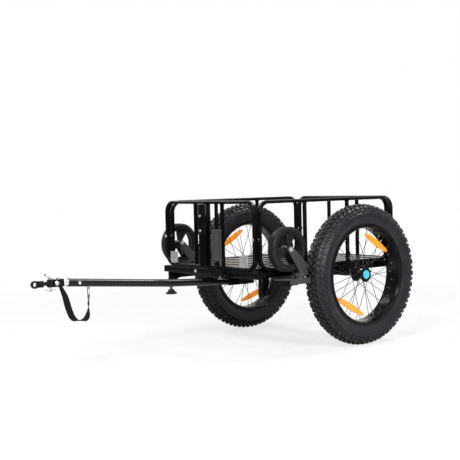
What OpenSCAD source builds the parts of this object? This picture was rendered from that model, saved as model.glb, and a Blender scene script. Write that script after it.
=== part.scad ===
/* [Main wheels] */
// Outer diameter of the main tyres
tyre_d = 586; // [560:1:620]
// Width of the main tyres
tyre_w = 98; // [92:1:106]
// Thickness of the tyre casing
tyre_wall = 5; // [3:0.5:8]
// Diameter over the rim edges
rim_d = 419; // [405:1:425]
// Width over the rim edges
rim_w = 82; // [70:1:84]
// Depth of the rim, from its edge to its spoke bed
rim_depth = 17.5; // [16:0.5:22]
// Spokes on each side of a wheel
spokes_per_side = 16; // [12:4:20]
// Diameter of a spoke
spoke_d = 2.2; // [1.8:0.1:3]
// Diameter of the hub flanges
hub_flange_d = 62; // [56:1:72]
// Diameter of the hub barrel
hub_barrel_d = 40; // [30:1:44]
// Clear gap between a side panel and the tyre beside it
tyre_gap = 20.5; // [12:0.5:40]
// Diameter of the stub axles
stub_d = 16; // [12:1:18]
// Diameter of the quick-release button
hub_button_d = 36; // [24:1:38]
// How far the quick-release button presses in
hub_button_travel = 4; // [2:0.5:6]
// Length of a spoke reflector
spoke_reflector_l = 150; // [90:1:160]
// Width of a spoke reflector
spoke_reflector_w = 26; // [16:1:30]

/* [Chassis] */
// Height of the frame tubes
tube_h = 28; // [24:1:32]
// Width of the frame tubes
tube_w = 28; // [24:1:32]
// Wall of the frame tubes
tube_wall = 2; // [1.5:0.25:3]
// Height of the frame top above the axle
frame_rise = 40; // [36:1:60]
// Length of the bed over the front and rear panels
bed_l = 799; // [760:1:840]
// Width of the bed over the side panels
bed_w = 609; // [590:1:612]
// Distance from the axle back to the rear face of the bed
bed_rear = 284.5; // [270:0.5:300]
// Metal left under a stub axle in the axle cross tube
axle_tube_floor = 1; // [0.5:0.5:4]
// Depth of the axle cross tube
axle_tube_depth = 32; // [24:1:40]
// Number of deck slats
slat_count = 9; // [7:1:10]
// Width of a deck slat
slat_w = 50; // [40:1:54]
// Height of a deck slat
slat_h = 12; // [8:1:16]
// Wall of a deck slat
slat_wall = 1.5; // [1:0.25:2.5]

/* [Guard panels] */
// Height of the guard panels
panel_h = 281; // [230:1:320]
// Thickness of the panel tube across the panel
panel_tube_t = 14; // [12:1:16]
// Depth of the panel tube through the panel
panel_tube_d = 23; // [20:1:26]
// Corner radius of the panel tube on its centre line
panel_corner_r = 45; // [30:1:60]
// Distance of an upright bar from the middle of an end panel
end_bar_x = 90; // [70:1:110]
// Distance of an upright bar from the middle of a side panel
side_bar_x = 121; // [90:1:150]
// Diameter of the upright bars
bar_d = 17; // [12:1:19]
// Clear gap between a side panel and the end panels
panel_gap = 5.5; // [4:0.5:8]
// Width of a front reflector
front_reflector_w = 46; // [36:1:60]
// Height of a front reflector
front_reflector_h = 46; // [36:1:60]

/* [Storage tube and lever] */
// Outer diameter of the storage tube
store_d = 48; // [42:1:54]
// Wall of the storage tube
store_wall = 3; // [2:0.5:4]
// Height of the collar on the storage tube
collar_h = 125; // [80:1:140]
// Wall of the collar
collar_wall = 2; // [1.5:0.5:5]
// Diameter of the foam grip
grip_d = 41; // [32:1:42]
// Length of the foam grip
grip_l = 126; // [100:1:140]
// Diameter of the lever tube
lever_d = 19; // [16:1:20]
// Distance of the lever from the centre line
lever_x = 92; // [80:1:110]

/* [Drawbar] */
// Outer diameter of the drawbar
drawbar_d = 30.5; // [28:0.5:31]
// Wall of the drawbar
drawbar_wall = 2.5; // [2.25:0.25:3]
// Distance from the axle forward to the front end of the drawbar
drawbar_reach = 1174; // [1150:1:1190]
// Distance from the axle forward to the bend of the drawbar
bend_reach = 715; // [650:1:760]
// Height of the drawbar axis at the bend, below the frame top
bend_drop = 43.5; // [42:0.5:50]
// Slope of the rear stretch of the drawbar
rear_slope = 3; // [2:0.1:4]
// Slope of the front stretch of the drawbar
front_slope = 4.8; // [4:0.1:5.4]
// Diameter of the snap button
snap_d = 12; // [8:1:14]
// Bore of the eye
eye_bore_d = 16; // [10:1:18]
// Outer diameter of the eye
eye_d = 29; // [26:1:32]
// Width of the eye
eye_w = 12; // [8:1:16]
// Diameter of the lock pin
lock_pin_d = 8; // [6:0.5:9]

/* [Casters] */
// Outer diameter of a caster tyre
caster_d = 178; // [150:1:184]
// Width of a caster tyre
caster_w = 36; // [30:1:38]
// Thickness of a caster tyre
caster_tyre_t = 18; // [12:1:22]
// Spokes of a caster wheel
caster_spokes = 3; // [3:1:7]
// Distance of a caster outside the side panel
caster_out = 56.5; // [54:0.5:60]
// Distance from the swivel axis to the caster axle
caster_trail = 62; // [50:1:66]
// Height of the caster axle above the arm
caster_axle_h = 118; // [116:1:130]
// Diameter of the caster axle bolt
caster_bolt_d = 12; // [8:1:14]
// Diameter of the pivot pin of the caster arm
pivot_d = 12; // [10:1:16]
// Diameter of the lock knob
knob_d = 50; // [40:1:52]

/* [Strap] */
// Width of the webbing
strap_w = 25; // [20:1:30]
// Thickness of the webbing
strap_t = 2.4; // [1.6:0.2:3]

/* [Hidden] */
$fn = 64;
run_gap = 0.05;
part_gap = 0.3;
bite = 1;

// Heights
axle_z = tyre_d / 2;
frame_top = axle_z + frame_rise;
frame_bottom = frame_top - tube_h;
panel_top = frame_top + panel_h;
panel_inner_top = panel_top - panel_tube_t;
panel_foot_top = frame_top + panel_tube_t;

// Lengths, with the axle line at y = 0 and the front at -y
bed_front = bed_rear - bed_l;
front_panel_y = bed_front + panel_tube_d / 2;
rear_panel_y = bed_rear - panel_tube_d / 2;
side_front = bed_front + panel_tube_d + panel_gap;
side_rear = bed_rear - panel_tube_d - panel_gap;
side_l = side_rear - side_front;
side_mid = (side_rear + side_front) / 2;
side_panel_x = (bed_w - panel_tube_d) / 2;
end_panel_w = bed_w - 7;
corner_bolt_h = 127;
front_screw_x = -84;
reflector_x = bed_w / 2 - 69.5;
cross_half = bed_w / 2 + 3.5;
rail_x = side_panel_x - 12;
rail_rear = side_rear - 2;
rail_front = bed_front + tube_w;
middle_bar_front = bed_front + 196.5;
rear_bar_front = rail_rear - 40;

// Hitch
end_z = frame_top - bend_drop + (drawbar_reach - bend_reach) * tan(front_slope);
hitch_z = end_z + 2.2;
coupling_rear = -drawbar_reach - 20;
pin_y = coupling_rear - 51;
eye_y = pin_y - 65;
fork_h = 28;
fork_plate = 6;
fork_r = 13;
tongue_r = 12;
barrel_d = 25;
barrel_rear = pin_y - 31;
barrel_front = pin_y - 53;
shank_d = 12;
clip_wire_d = 2.4;
clip_z = hitch_z - 25;
coupling_half = 13;
snap_back = 44;
bracket_l = 112;
bracket_h = 47;
drawbar_rear = middle_bar_front + 7;
clamp_bolt_y = middle_bar_front - 12;
drawbar_bolt_y = middle_bar_front - 82;
reach_front = -eye_y + eye_d / 2;
reach_rear = tyre_d / 2;
origin_y = (reach_front - reach_rear) / 2;

// Wheels
wheel_x = bed_w / 2 + tyre_gap + tyre_w / 2;
rim_bed_d = rim_d - 13;
rim_inner_d = rim_d - 2 * rim_depth;
rim_flange_t = 2.5;
bead_gap = 0.2;
flange_x = 27;
flange_t = 3.4;
hub_in = 33;
hub_out = 31;
hub_ring_d = hub_button_d + 12;
recess_x = hub_out - hub_button_travel - 5.5;
button_out = hub_out + 2;
button_t = button_out - recess_x - hub_button_travel - 0.5;
button_stem_d = 8;
hub_bore_d = stub_d + 2 * run_gap;
stub_end = 20;
stub_root = 40;
axle_tube_half = wheel_x - 62;
axle_tube_h = frame_bottom - axle_z + stub_d / 2 + axle_tube_floor;

// Casters
caster_x = bed_w / 2 + caster_out;
arm_rear = -reach_rear - 7;
caster_swivel_y = arm_rear - 35;
caster_y = caster_swivel_y - caster_trail;
arm_top = frame_bottom - 3;
arm_h = 31;
arm_bottom = arm_top - arm_h;
arm_plate = 4;
arm_half = 29;
arm_front = arm_rear - 147;
arm_step = arm_rear - 107;
pivot_y = arm_rear - 170;
pivot_z = frame_top - 77;
lug_r = 14;
lug_w = 14;
boss_d = 44;
boss_top = arm_top + 7;
crown_bottom = boss_top + part_gap;
crown_t = 14;
crown_d = 54;
swivel_d = 12;
caster_axle_z = arm_top + caster_axle_h;
leg_gap = 2;
leg_in = caster_w / 2 + leg_gap;
leg_t = 3.5;
caster_hub_d = 34;
caster_rim_t = 9;
caster_rim_d = caster_d - 2 * caster_tyre_t;
hanger_t = 6;
sleeve_d = 22;
sleeve_x = cross_half - 3;
sleeve_y = bed_front + 28.5;
sleeve_bottom = frame_top - 98;
knob_top = frame_top - 108;
knob_t = 21;
knob_stem_d = 10;
hanger_foot = frame_top - 95;

// Storage tube and lever
store_y = bed_front - 12.5;
collar_d = store_d + 2 * collar_wall + 2 * part_gap;
collar_bolt_turn = 11;
collar_bolt_low = panel_inner_top - 108;
collar_bolt_high = panel_inner_top - 48;
lever_y = bed_front - 21.5;
lever_pivot_y = bed_front - 12.5;
lever_pivot_z = frame_bottom + 1;
lever_bolt_d = 8;
lever_eye_w = 16;
lever_foot_x = lever_x + 42;
ear_t = 3;
grip_bottom = frame_top + 37;
knee_z = frame_top + 12;

// Strap route, with the axle line at y = 0, each point as [y, z]
strap_points = [[-1205, 318], [-1196, 300], [-1185, 275], [-1179, 254], [-1173, 233],
    [-1166, 214], [-1158, 197], [-1146, 185], [-1134, 181], [-1120, 180], [-1106, 181],
    [-1096, 188], [-1090, 202], [-1087, 218], [-1086, 234], [-1085, 250]];
strap_face = 51;
strap_twist = 39;
ring_y = -1085;
ring_z = end_z - (drawbar_reach + ring_y) * tan(front_slope) - drawbar_d / 2 - 3.3;
ring_r = 6;
ring_wire = 3.2;
hook_z = ring_z - 7;
hook_r = 7;
hook_wire = 3.2;
hook_knot = hook_wire + 0.6;
d_ring_z = 250;
gate_z = d_ring_z + 30.6;

// Moves a piece from the axle line to the part's own origin
module place() {
    translate([0, origin_y, 0]) children();
}

// Mirrors a left-hand piece to the right when s is -1
module side(s) {
    scale_x = s > 0 ? 0 : 1;
    mirror([scale_x, 0, 0]) children();
}

// Round bar between two points
module rod(p, q, d) {
    v = q - p;
    l = norm(v);
    translate(p)
        rotate([0, acos(v[2] / l), atan2(v[1], v[0])])
            cylinder(d = d, h = l);
}

// Cylinder along x
module x_cyl(d, x0, x1) {
    translate([x0, 0, 0]) rotate([0, 90, 0]) cylinder(d = d, h = x1 - x0);
}

// Square tube along x, centred on its section
module x_tube(x0, x1, w, h, wall) {
    difference() {
        translate([x0, -w / 2, -h / 2]) cube([x1 - x0, w, h]);
        translate([x0 - bite, -w / 2 + wall, -h / 2 + wall])
            cube([x1 - x0 + 2 * bite, w - 2 * wall, h - 2 * wall]);
    }
}

// Flat-oval tube section, long along y
module oval() {
    straight = panel_tube_d - panel_tube_t;
    square([panel_tube_t, straight], center = true);
    for (s = [-1, 1]) translate([0, s * straight / 2]) circle(d = panel_tube_t);
}

// Closed tube loop in the xz plane, standing on z = 0, with upright bars
module loop_panel(w, bars) {
    r = panel_corner_r;
    cx = w / 2 - panel_tube_t / 2 - r;
    cz = panel_h / 2 - panel_tube_t / 2 - r;
    translate([0, 0, panel_h / 2]) {
        for (k = [0:3]) {
            sx = k == 0 || k == 3 ? 1 : -1;
            sz = k < 2 ? 1 : -1;
            translate([sx * cx, 0, sz * cz])
                rotate([0, -90 * k, 0]) rotate([90, 0, 0])
                    rotate_extrude(angle = 90) translate([r, 0]) oval();
        }
        for (s = [-1, 1]) {
            translate([s * (cx + r), 0, -cz]) linear_extrude(2 * cz) oval();
            translate([-cx, 0, s * (cz + r)])
                rotate([0, 90, 0]) linear_extrude(2 * cx) oval();
        }
        for (x = bars) translate([x, 0, -cz - r]) cylinder(d = bar_d, h = 2 * (cz + r));
    }
}

module side_rails() {
    color("#1a1a1c") place()
        for (s = [-1, 1])
            translate([s * rail_x, 0, frame_top - tube_h / 2]) rotate([0, 0, 90])
                x_tube(rail_front, rail_rear, tube_w, tube_h, tube_wall);
}

module crossbars() {
    inner = rail_x - tube_w / 2;
    color("#1a1a1c") place() translate([0, 0, frame_top - tube_h / 2]) {
        translate([0, bed_front + tube_w / 2, 0])
            x_tube(-cross_half, cross_half, tube_w, tube_h, tube_wall);
        for (y = [middle_bar_front, rear_bar_front])
            translate([0, y + tube_w / 2, 0]) x_tube(-inner, inner, tube_w, tube_h, tube_wall);
    }
}

module axle_tube() {
    color("#1a1a1c") place()
        difference() {
            translate([-axle_tube_half, -axle_tube_depth / 2, frame_bottom - axle_tube_h])
                cube([2 * axle_tube_half, axle_tube_depth, axle_tube_h]);
            for (s = [-1, 1])
                translate([0, 0, axle_z]) side(s)
                    x_cyl(stub_d, axle_tube_half - stub_root, axle_tube_half + bite);
        }
}

module stub_axles() {
    color("#c9ccd0") place() translate([0, 0, axle_z])
        for (s = [-1, 1]) side(s)
            difference() {
                x_cyl(stub_d, axle_tube_half - stub_root, wheel_x + stub_end);
                x_cyl(button_stem_d + 2 * run_gap, wheel_x - 6, wheel_x + stub_end + bite);
            }
}

module deck_slats() {
    half = side_panel_x - panel_tube_d / 2 - 2.5;
    first = bed_front + panel_tube_d + slat_w / 2 + 14;
    last = bed_rear - panel_tube_d - slat_w / 2 - 14;
    step = (last - first) / (slat_count - 1);
    color("#202023") place()
        for (i = [0:slat_count - 1])
            translate([0, first + i * step, frame_top + slat_h / 2])
                x_tube(-half, half, slat_w, slat_h, slat_wall);
}

module rail_end_caps() {
    color("#b9bcc0") place()
        for (s = [-1, 1])
            translate([s * rail_x, rail_rear, frame_top - tube_h / 2]) {
                translate([-tube_w / 2, 0, -tube_h / 2]) cube([tube_w, 4, tube_h]);
                fit_w = tube_w - 2 * tube_wall - 2 * part_gap;
                fit_h = tube_h - 2 * tube_wall - 2 * part_gap;
                translate([-fit_w / 2, -12, -fit_h / 2]) cube([fit_w, 13, fit_h]);
            }
}

module front_panel() {
    color("#161618") place() translate([0, front_panel_y, frame_top])
        loop_panel(end_panel_w, [-end_bar_x, end_bar_x]);
}

module rear_panel() {
    color("#161618") place() translate([0, rear_panel_y, frame_top])
        loop_panel(end_panel_w, [-end_bar_x, end_bar_x]);
}

module side_panel(s) {
    color("#161618") place() translate([s * side_panel_x, side_mid, frame_top])
        rotate([0, 0, 90]) loop_panel(side_l, [-side_bar_x, side_bar_x]);
}

// Corner bolts with their spacers, and one screw in the front crossbar
module panel_bolts() {
    bolt_z = frame_top + corner_bolt_h;
    bolt_x = end_panel_w / 2 - panel_tube_t / 2;
    color("#8f9296") place() {
        for (s = [-1, 1]) {
            translate([s * bolt_x, bed_front - 3, bolt_z]) rotate([-90, 0, 0]) {
                cylinder(d = 11, h = 4);
                cylinder(d = 6, h = panel_tube_d + panel_gap + 8);
            }
            translate([s * bolt_x, bed_front + panel_tube_d, bolt_z]) rotate([-90, 0, 0])
                cylinder(d = 12, h = panel_gap);
            translate([s * bolt_x, bed_rear + 3, bolt_z]) rotate([90, 0, 0]) {
                cylinder(d = 11, h = 4);
                cylinder(d = 6, h = panel_tube_d + panel_gap + 8);
            }
            translate([s * bolt_x, bed_rear - panel_tube_d, bolt_z]) rotate([90, 0, 0])
                cylinder(d = 12, h = panel_gap);
        }
        translate([front_screw_x, bed_front - 4, frame_top - tube_h / 2]) rotate([-90, 0, 0])
            cylinder(d = 12, h = 4);
    }
}

module front_reflectors() {
    foot_w = front_reflector_w / 2;
    color("#e6e4de") place()
        for (x = [-reflector_x, reflector_x])
            translate([x - front_reflector_w / 2, bed_front - 3.5, panel_foot_top]) {
                translate([0, 0, 3]) cube([front_reflector_w, 7, front_reflector_h]);
                translate([foot_w / 2, 3, 0]) cube([foot_w, 12, 3.5]);
            }
}

module storage_tube() {
    color("#0f0f11") place() translate([0, store_y, panel_foot_top])
        difference() {
            cylinder(d = store_d, h = panel_h - 2 * panel_tube_t - 5);
            translate([0, 0, store_wall])
                cylinder(d = store_d - 2 * store_wall, h = panel_h);
        }
}

module tube_collar() {
    color("#2a2a2c") place() translate([0, store_y, panel_inner_top - collar_h])
        difference() {
            cylinder(d = collar_d, h = collar_h);
            translate([0, 0, -bite])
                cylinder(d = store_d + 2 * part_gap, h = collar_h + 2 * bite);
        }
}

module collar_bolts() {
    color("#c4c6c9") place()
        for (z = [collar_bolt_low, collar_bolt_high])
            translate([0, store_y, z]) rotate([0, 0, collar_bolt_turn])
                translate([0, -collar_d / 2 - 3, 0]) rotate([-90, 0, 0]) cylinder(d = 10, h = 4);
}

// Two cheek plates and a web that hold the rear end of the drawbar
module drawbar_bracket() {
    rear = middle_bar_front + tube_w;
    front = middle_bar_front - bracket_l;
    low = frame_bottom - bracket_h;
    high = frame_bottom + 10;
    r = 22;
    color("#1a1a1c") place() {
        for (s = [-1, 1]) side(s)
            translate([25, 0, 0]) rotate([90, 0, 90]) linear_extrude(3) {
                polygon([[front, low], [rear, low], [rear, frame_bottom],
                    [middle_bar_front, frame_bottom], [middle_bar_front, high],
                    [front + r, high], [front + r, high - r], [front, high - r]]);
                translate([front + r, high - r]) circle(r = r);
            }
        translate([-25.5, front + r, frame_bottom - 3]) cube([51, rear - front - r, 3]);
    }
}

module drawbar_bolts() {
    color("#b9bcc0") place()
        for (p = [[clamp_bolt_y, frame_bottom - 11], [drawbar_bolt_y, drawbar_z(drawbar_bolt_y)]])
            translate([0, p[0], p[1]]) {
                x_cyl(7, -30, 30);
                x_cyl(12, 28, 33);
                x_cyl(12, -33, -28);
            }
}

// Height of the drawbar axis over a point of the rear stretch
function drawbar_z(y) = frame_top - bend_drop + (-bend_reach - y) * tan(rear_slope);

// Half space ahead of the drawbar's bend when s is -1, behind it when s is 1
module bend_side(s) {
    reach = 4 * drawbar_d;
    translate([0, -bend_reach, frame_top - bend_drop])
        rotate([-(rear_slope + front_slope) / 2, 0, 0])
            translate([-reach / 2, s > 0 ? 0 : -reach, -reach / 2]) cube(reach);
}

// Round bar with the drawbar's two stretches, mitred at the bend
module bent_bar(d, rear, front) {
    bend = [0, -bend_reach, frame_top - bend_drop];
    difference() {
        rod(bend + (bend - rear) / norm(bend - rear) * d, rear, d);
        bend_side(-1);
    }
    difference() {
        rod(bend + (bend - front) / norm(bend - front) * d, front, d);
        bend_side(1);
    }
}

module drawbar() {
    bend = [0, -bend_reach, frame_top - bend_drop];
    rear = [0, drawbar_rear, drawbar_z(drawbar_rear)];
    front = [0, -drawbar_reach, end_z];
    ahead = front + (front - bend) / norm(front - bend);
    behind = rear + (rear - bend) / norm(rear - bend);
    color("#131315") place()
        difference() {
            bent_bar(drawbar_d, rear, front);
            bent_bar(drawbar_d - 2 * drawbar_wall, behind, ahead);
            translate(snap_point()) x_cyl(snap_d + 4 * run_gap, 0, drawbar_d);
        }
}

// Point of the drawbar axis where the snap button sits
function snap_point() = [0, -drawbar_reach + snap_back, end_z - snap_back * tan(front_slope)];

module hitch_tube() {
    bend = [0, -bend_reach, frame_top - bend_drop];
    front = [0, -drawbar_reach, end_z];
    dir = (front - bend) / norm(front - bend);
    rear = front - dir * 67;
    tip = front + dir * 28;
    outer = drawbar_d - 2 * drawbar_wall - 2 * run_gap;
    color("#d3d6da") place()
        difference() {
            rod(rear, tip, outer);
            rod(rear - dir, tip - dir * 6, outer - 5);
            translate(snap_point()) x_cyl(snap_d + 4 * run_gap, 0, drawbar_d);
        }
}

module snap_button() {
    color("#d3d6da") place() translate(snap_point())
        x_cyl(snap_d, drawbar_d / 2 - 7, drawbar_d / 2 + 2.5);
}

module coupling_body() {
    front = pin_y + fork_r;
    color("#1b1b1d") place() translate([0, 0, hitch_z])
        difference() {
            union() {
                translate([-coupling_half, front, -fork_h / 2])
                    cube([2 * coupling_half, coupling_rear - front, fork_h]);
                translate([0, pin_y, -fork_h / 2]) cylinder(r = fork_r, h = fork_h);
                translate([-fork_r, pin_y, -fork_h / 2]) cube([2 * fork_r, fork_r, fork_h]);
            }
            translate([-fork_r - bite, pin_y - fork_r - bite, -fork_h / 2 + fork_plate])
                cube([2 * fork_r + 2 * bite, 2 * fork_r + bite, fork_h - 2 * fork_plate]);
            translate([0, pin_y, -fork_h])
                cylinder(d = lock_pin_d + 4 * run_gap, h = 2 * fork_h);
        }
}

module coupling_bolts() {
    color("#c4c6c9") place() translate([0, coupling_rear, hitch_z]) {
        for (s = [-1, 1]) side(s) translate([0, -31, 0]) x_cyl(16, coupling_half, coupling_half + 5);
        translate([0, -20, fork_h / 2]) cylinder(d = 14, h = 6);
    }
}

module coupling_knuckle() {
    t = fork_h - 2 * fork_plate - 2 * part_gap;
    color("#242426") place() translate([0, pin_y, hitch_z])
        difference() {
            union() {
                translate([0, 0, -t / 2]) cylinder(r = tongue_r, h = t);
                translate([-7, -20, -t / 2]) cube([14, 20, t]);
                translate([0, -18, 0]) rotate([90, 0, 0]) cylinder(d = shank_d, h = 30.7);
            }
            translate([0, 0, -t]) cylinder(d = lock_pin_d + 4 * run_gap, h = 2 * t);
        }
}

module coupling_eye() {
    color("#1b1b1d") place()
        difference() {
            union() {
                translate([0, barrel_rear, hitch_z]) rotate([90, 0, 0])
                    cylinder(d = barrel_d, h = barrel_rear - barrel_front);
                translate([0, eye_y, hitch_z]) x_cyl(eye_d, -eye_w / 2, eye_w / 2);
            }
            translate([0, eye_y, hitch_z]) x_cyl(eye_bore_d, -barrel_d, barrel_d);
            translate([0, barrel_rear + bite, hitch_z]) rotate([90, 0, 0])
                cylinder(d = shank_d + 2 * run_gap, h = 19 + bite);
        }
}

module lock_pin() {
    head_z = hitch_z + fork_h / 2 + part_gap;
    color("#b4b7bb") place()
        difference() {
            union() {
                translate([0, pin_y, hitch_z - 32]) cylinder(d = lock_pin_d, h = head_z - hitch_z + 33);
                translate([0, pin_y, head_z]) cylinder(d = 16, h = 5);
                translate([-8, pin_y + 2, head_z + 3]) rotate([-36, 0, 0])
                    translate([0, -28, -3]) cube([16, 28, 5]);
            }
            translate([0, pin_y + lock_pin_d, clip_z]) rotate([90, 0, 0])
                cylinder(d = clip_wire_d + 2 * run_gap, h = 2 * lock_pin_d);
        }
}

// Wire clip through the tip of the lock pin
module pin_clip() {
    straight_front = pin_y - 17;
    color("#c9ccd0") place() {
        rod([0, pin_y + 24, clip_z], [0, straight_front, clip_z], clip_wire_d);
        translate([0, straight_front, clip_z + 4.5]) rotate([0, -90, 0])
            rotate([0, 0, 180]) rotate_extrude(angle = 90)
                translate([4.5, 0]) circle(d = clip_wire_d, $fn = 24);
        rod([0, straight_front - 4.5, clip_z + 4.5], [0, straight_front - 4.5, clip_z + 8], clip_wire_d);
    }
}

module strap_ring() {
    color("#b4b7bb") place() translate([0, ring_y, ring_z]) rotate([0, 90, 0])
        rotate_extrude() translate([ring_r, 0]) circle(d = ring_wire, $fn = 24);
}

// Flat webbing swept along the strap route
module safety_strap() {
    n = len(strap_points);
    w = strap_w / 2;
    t = strap_t / 2;
    c = t * 0.6;
    section = [[w - c, -t], [w, -t + c], [w, t - c], [w - c, t],
        [-w + c, t], [-w, t - c], [-w, -t + c], [-w + c, -t]];
    rings = [for (i = [0:n - 1]) let (
        a = strap_points[max(i - 1, 0)],
        b = strap_points[min(i + 1, n - 1)],
        d = (b - a) / norm(b - a),
        turn = -strap_face * min(1, i / 3)
            + (strap_face + strap_twist) * min(1, max(0, (i - n + 6) / 4)),
        roll = -turn * d[1],
        u = [cos(roll), sin(roll) * d[1], -sin(roll) * d[0]],
        g = cross([0, d[0], d[1]], u))
        [for (p = section)
            [0, strap_points[i][0], strap_points[i][1]] + u * p[0] + g * p[1]]];
    faces = concat(
        [[for (k = [7:-1:0]) k]],
        [[for (k = [0:7]) (n - 1) * 8 + k]],
        [for (i = [0:n - 2]) for (k = [0:7])
            [i * 8 + k, i * 8 + (k + 1) % 8, (i + 1) * 8 + (k + 1) % 8]],
        [for (i = [0:n - 2]) for (k = [0:7])
            [i * 8 + k, (i + 1) * 8 + (k + 1) % 8, (i + 1) * 8 + k]]);
    color("#19191b") place()
        polyhedron(points = [for (r = rings) for (p = r) p], faces = faces);
}

module strap_tab() {
    color("#e0752d") place()
        translate([0, -1086, 237]) rotate([0, 0, -strap_twist])
            translate([-7, -3.6, 0]) cube([14, 2, 10]);
}

module snap_hook() {
    base = d_ring_z + 22;
    color("#2a2a2c") place() translate([0, ring_y, 0]) {
        translate([0, 0, hook_z]) rotate([90, 0, 0])
            rotate_extrude(angle = 180) translate([hook_r, 0]) circle(d = hook_wire, $fn = 24);
        rod([-hook_r, 0, hook_z], [-hook_r, 0, base + 8], hook_wire);
        translate([-hook_r, 0, base + 8]) sphere(d = hook_knot);
        rod([-hook_r, 0, base + 8], [0, 0, base], hook_wire);
        rod([hook_r, 0, base + 8 - hook_wire], [0, 0, base], hook_wire);
        translate([0, 0, base - 10]) cylinder(d = 9, h = 12);
        rotate([0, 0, -strap_twist]) translate([0, 0, d_ring_z]) {
            for (s = [-1, 1]) {
                rod([s * 14, 0, 0], [s * 14, 0, 4], hook_wire);
                rod([s * 14, 0, 4], [0, 0, 13], hook_wire);
                translate([s * 14, 0, 0]) sphere(d = hook_knot);
                translate([s * 14, 0, 4]) sphere(d = hook_knot);
            }
            rod([-14, 0, 0], [14, 0, 0], hook_wire);
        }
    }
}

module hook_gate() {
    color("#c4c6c9") place() translate([0, ring_y, 0]) {
        rod([hook_r, 0, gate_z], [hook_r, 0, hook_z - part_gap], 2.6);
        translate([hook_r, 2.2, gate_z]) rotate([90, 0, 0]) cylinder(d = 3.6, h = 4.4);
    }
}

// Clevis on the front crossbar that carries the lever
module lever_bracket() {
    half = lever_eye_w / 2 + part_gap;
    color("#1a1a1c") place() translate([lever_foot_x, 0, 0]) {
        translate([half, 0, 0]) rotate([90, 0, 90]) linear_extrude(ear_t) {
            translate([lever_pivot_y, lever_pivot_z]) circle(d = 20);
            polygon([[lever_pivot_y, lever_pivot_z - 10], [bed_front, frame_bottom],
                [bed_front, frame_top - 4], [lever_pivot_y - 6, lever_pivot_z + 8]]);
        }
        translate([0, lever_pivot_y, lever_pivot_z]) {
            x_cyl(lever_bolt_d, 1 - lever_eye_w / 2, half + ear_t + 3);
            x_cyl(13, half + ear_t, half + ear_t + 4);
        }
    }
}

module lever_tube() {
    foot = [lever_foot_x, lever_pivot_y, lever_pivot_z];
    low = [lever_x + 22, lever_pivot_y, lever_pivot_z];
    mid = [lever_x + 4, lever_pivot_y - 5, lever_pivot_z + 19];
    knee = [lever_x, lever_y, knee_z];
    leg_d = lever_d - 3;
    color("#131315") place()
        difference() {
            union() {
                translate(foot) x_cyl(18, -lever_eye_w / 2, lever_eye_w / 2);
                rod(low, foot, leg_d);
                rod(mid, low, leg_d);
                rod(knee, mid, leg_d);
                for (joint = [low, mid]) translate(joint) sphere(d = leg_d);
                translate(knee) sphere(d = lever_d);
                translate(knee) cylinder(d = lever_d, h = grip_bottom + grip_l - 3 - knee_z);
            }
            translate(foot) x_cyl(lever_bolt_d + 2 * run_gap, -lever_eye_w / 2, lever_eye_w);
        }
}

module foam_grip() {
    color("#2b2b2d") place() translate([lever_x, lever_y, grip_bottom])
        difference() {
            union() {
                cylinder(d = grip_d - 2, h = grip_l);
                translate([0, 0, grip_l - 6]) cylinder(d = grip_d, h = 6);
                cylinder(d = grip_d, h = 6);
            }
            translate([0, 0, -bite]) cylinder(d = lever_d, h = grip_l - 2 + bite);
        }
}

// Tyre section, with the wheel axis along the plot's y
module tyre_section(inset) {
    r = tyre_w / 2 - inset;
    major = (tyre_d - tyre_w) / 2;
    bead = rim_w / 2 - rim_flange_t - bead_gap - inset;
    low = rim_bed_d / 2 - inset;
    edge = rim_d / 2 + 2 * bead_gap;
    translate([major, 0]) circle(r = r);
    polygon([[low, -bead], [edge, -bead], [major, -r], [major, r], [edge, bead], [low, bead]]);
}

module wheel_place(s) {
    place() translate([s * wheel_x, 0, axle_z]) side(s) children();
}

module tyre(s) {
    seat = rim_bed_d / 2 + bead_gap;
    color("#232325") wheel_place(s) rotate([0, 90, 0])
        rotate_extrude($fn = 180)
            intersection() {
                difference() {
                    tyre_section(0);
                    tyre_section(tyre_wall);
                }
                translate([seat, -tyre_w]) square([tyre_d, 2 * tyre_w]);
            }
}

module rim(s) {
    e = rim_d / 2;
    b = rim_bed_d / 2;
    i = rim_inner_d / 2;
    h = rim_w / 2;
    f = h - rim_flange_t;
    color("#0d0d0f") wheel_place(s) rotate([0, 90, 0])
        rotate_extrude($fn = 180)
            polygon([[e, -h], [e, -f], [b, -f], [b - 1, -h * 0.6], [b - 6, -h * 0.5],
                [b - 6, h * 0.5], [b - 1, h * 0.6], [b, f], [e, f], [e, h],
                [e - 11.5, h], [i + 3, h * 0.85], [i, h * 0.5], [i, -h * 0.5],
                [i + 3, -h * 0.85], [e - 11.5, -h]]);
}

module spokes(s) {
    step = 360 / spokes_per_side;
    hole_r = hub_flange_d / 2 - 4;
    end_r = rim_inner_d / 2 + 1;
    color("#2a2a2c") wheel_place(s)
        for (f = [-1, 1])
            for (k = [0:spokes_per_side - 1]) {
                lead = k % 2 == 0 ? 1 : -1;
                a = k * step + (f > 0 ? step / 2 : 0);
                b = a + lead * 2 * step;
                head = f * (flange_x + lead * 2.9);
                hub_point = [head, hole_r * cos(a), hole_r * sin(a)];
                rim_point = [f * (5 + lead * 1.5), end_r * cos(b), end_r * sin(b)];
                nipple = (hub_point - rim_point) / norm(hub_point - rim_point);
                rod(hub_point, rim_point, spoke_d);
                rod(rim_point, rim_point + nipple * 13, spoke_d + 2);
            }
}

module hub(s) {
    color("#141416") wheel_place(s)
        difference() {
            union() {
                x_cyl(hub_barrel_d, -hub_in, hub_out);
                for (x = [-flange_x, flange_x])
                    translate([x, 0, 0]) x_cyl(hub_flange_d, -flange_t / 2, flange_t / 2);
                x_cyl(hub_ring_d, recess_x - 3, hub_out);
            }
            x_cyl(hub_bore_d, -hub_in - bite, hub_out);
            x_cyl(hub_button_d + 2 * part_gap, recess_x, hub_out + bite);
        }
}

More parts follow.
